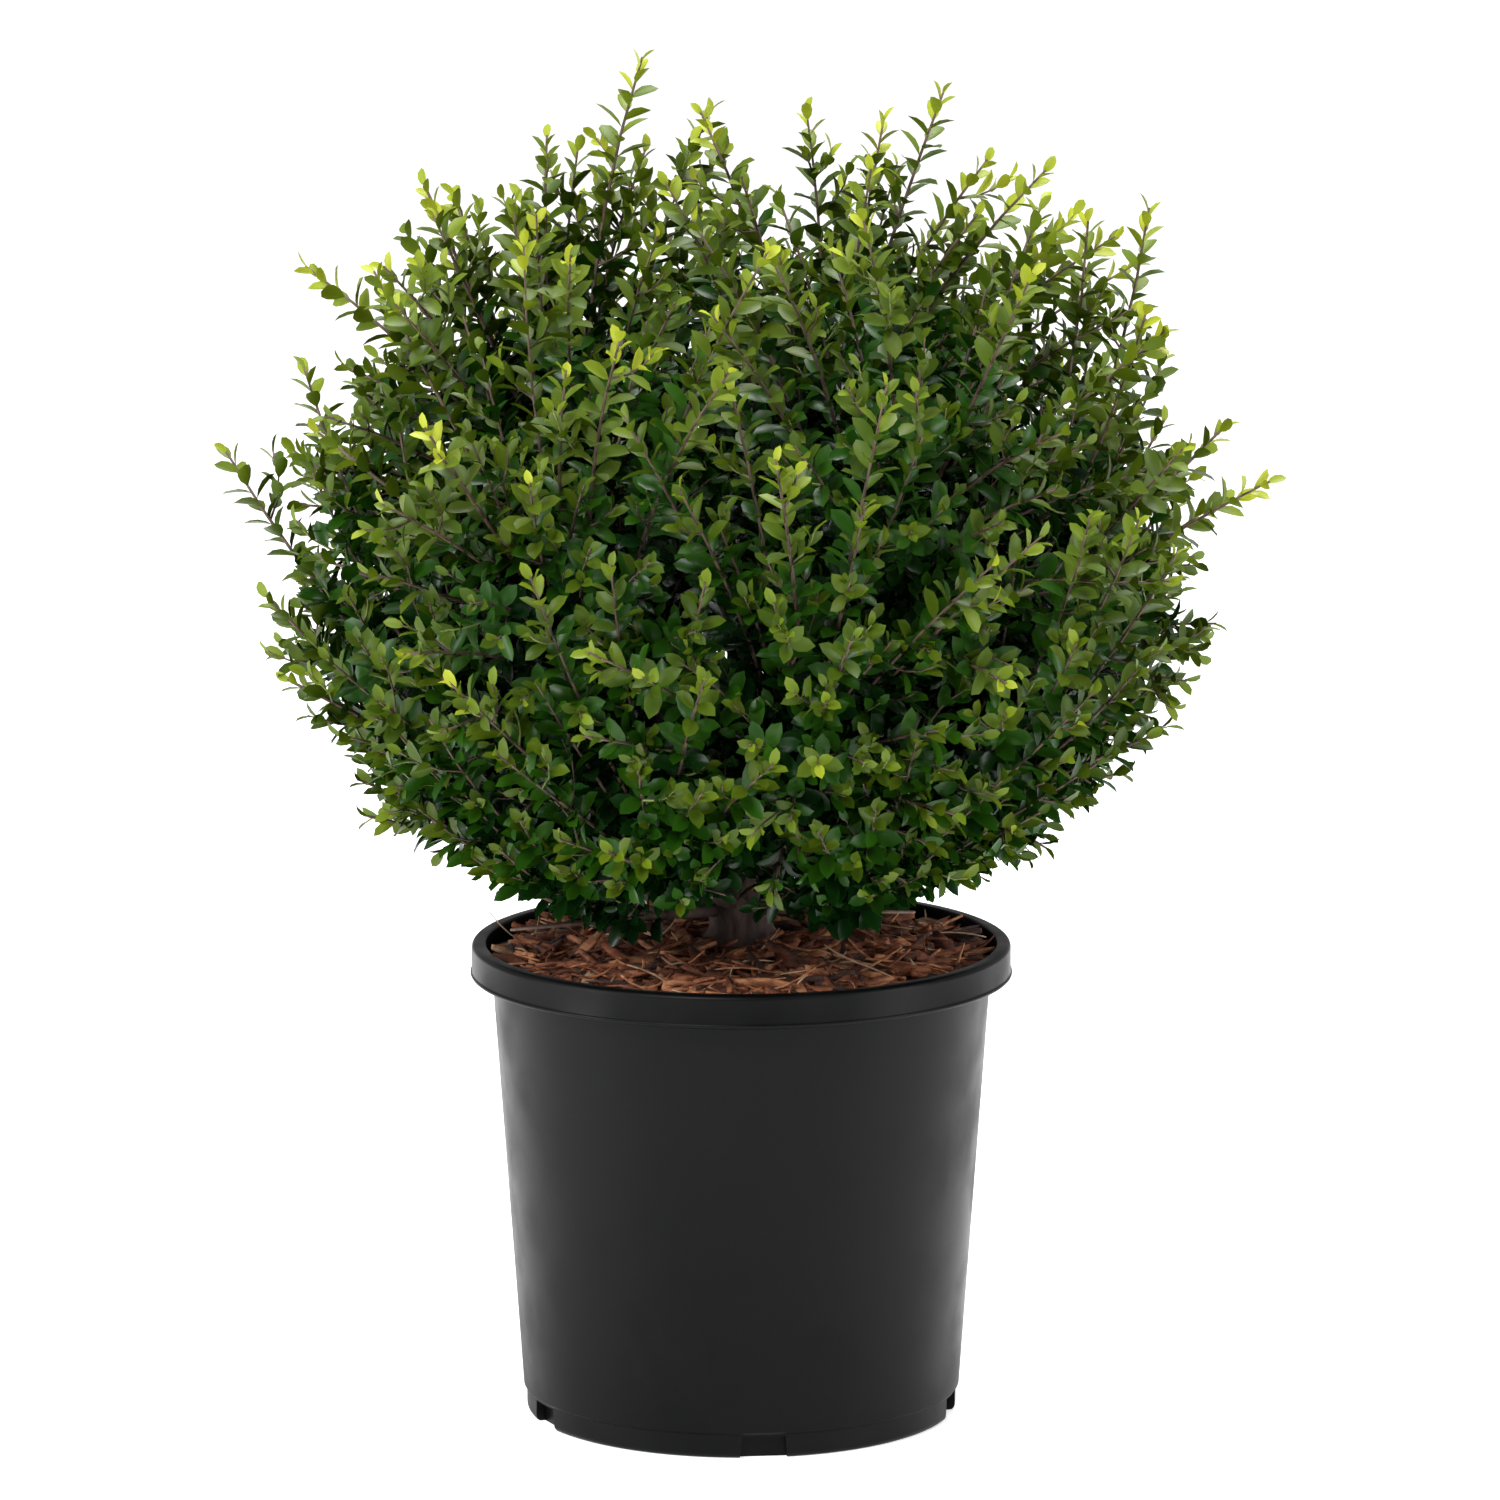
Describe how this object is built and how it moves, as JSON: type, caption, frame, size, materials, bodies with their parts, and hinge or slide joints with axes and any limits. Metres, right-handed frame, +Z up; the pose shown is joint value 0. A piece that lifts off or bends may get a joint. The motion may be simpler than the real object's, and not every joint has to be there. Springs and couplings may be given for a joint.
{
  "type": "potted shrub",
  "caption": "Dense rounded broadleaf evergreen shrub with small oval leaves, growing in a round black plastic nursery pot topped with shredded bark mulch.",
  "frame": {"origin": "centre of the pot's flat underside, on the ground", "axes": "+Z up along the pot's axis, the viewer's side toward -Y, +X to the viewer's right"},
  "size_m": [0.5543, 0.5319, 0.7199],
  "materials": {
    "pot_plastic": "satin",
    "bark_mulch": "matte",
    "stem_bark": "matte",
    "foliage": "satin"
  },
  "bodies": {
    "root": {"bough_lower_1": "stem_bark", "bough_lower_2": "stem_bark", "bough_lower_3": "stem_bark", "bough_lower_4": "stem_bark", "bough_lower_5": "stem_bark", "bough_middle_1": "stem_bark", "bough_middle_2": "stem_bark", "bough_middle_3": "stem_bark", "bough_middle_4": "stem_bark", "bough_middle_5": "stem_bark", "bough_middle_6": "stem_bark", "bough_top_1": "stem_bark", "bough_top_2": "stem_bark", "bough_upper_1": "stem_bark", "bough_upper_2": "stem_bark", "bough_upper_3": "stem_bark", "bough_upper_4": "stem_bark", "bough_upper_5": "stem_bark", "foliage_lower_1": "foliage", "foliage_lower_2": "foliage", "foliage_lower_3": "foliage", "foliage_lower_4": "foliage", "foliage_lower_5": "foliage", "foliage_middle_1": "foliage", "foliage_middle_2": "foliage", "foliage_middle_3": "foliage", "foliage_middle_4": "foliage", "foliage_middle_5": "foliage", "foliage_middle_6": "foliage", "foliage_top_1": "foliage", "foliage_top_2": "foliage", "foliage_upper_1": "foliage", "foliage_upper_2": "foliage", "foliage_upper_3": "foliage", "foliage_upper_4": "foliage", "foliage_upper_5": "foliage", "mulch": "bark_mulch", "pot": "pot_plastic", "short_stem": "stem_bark"}
  },
  "joints": []
}
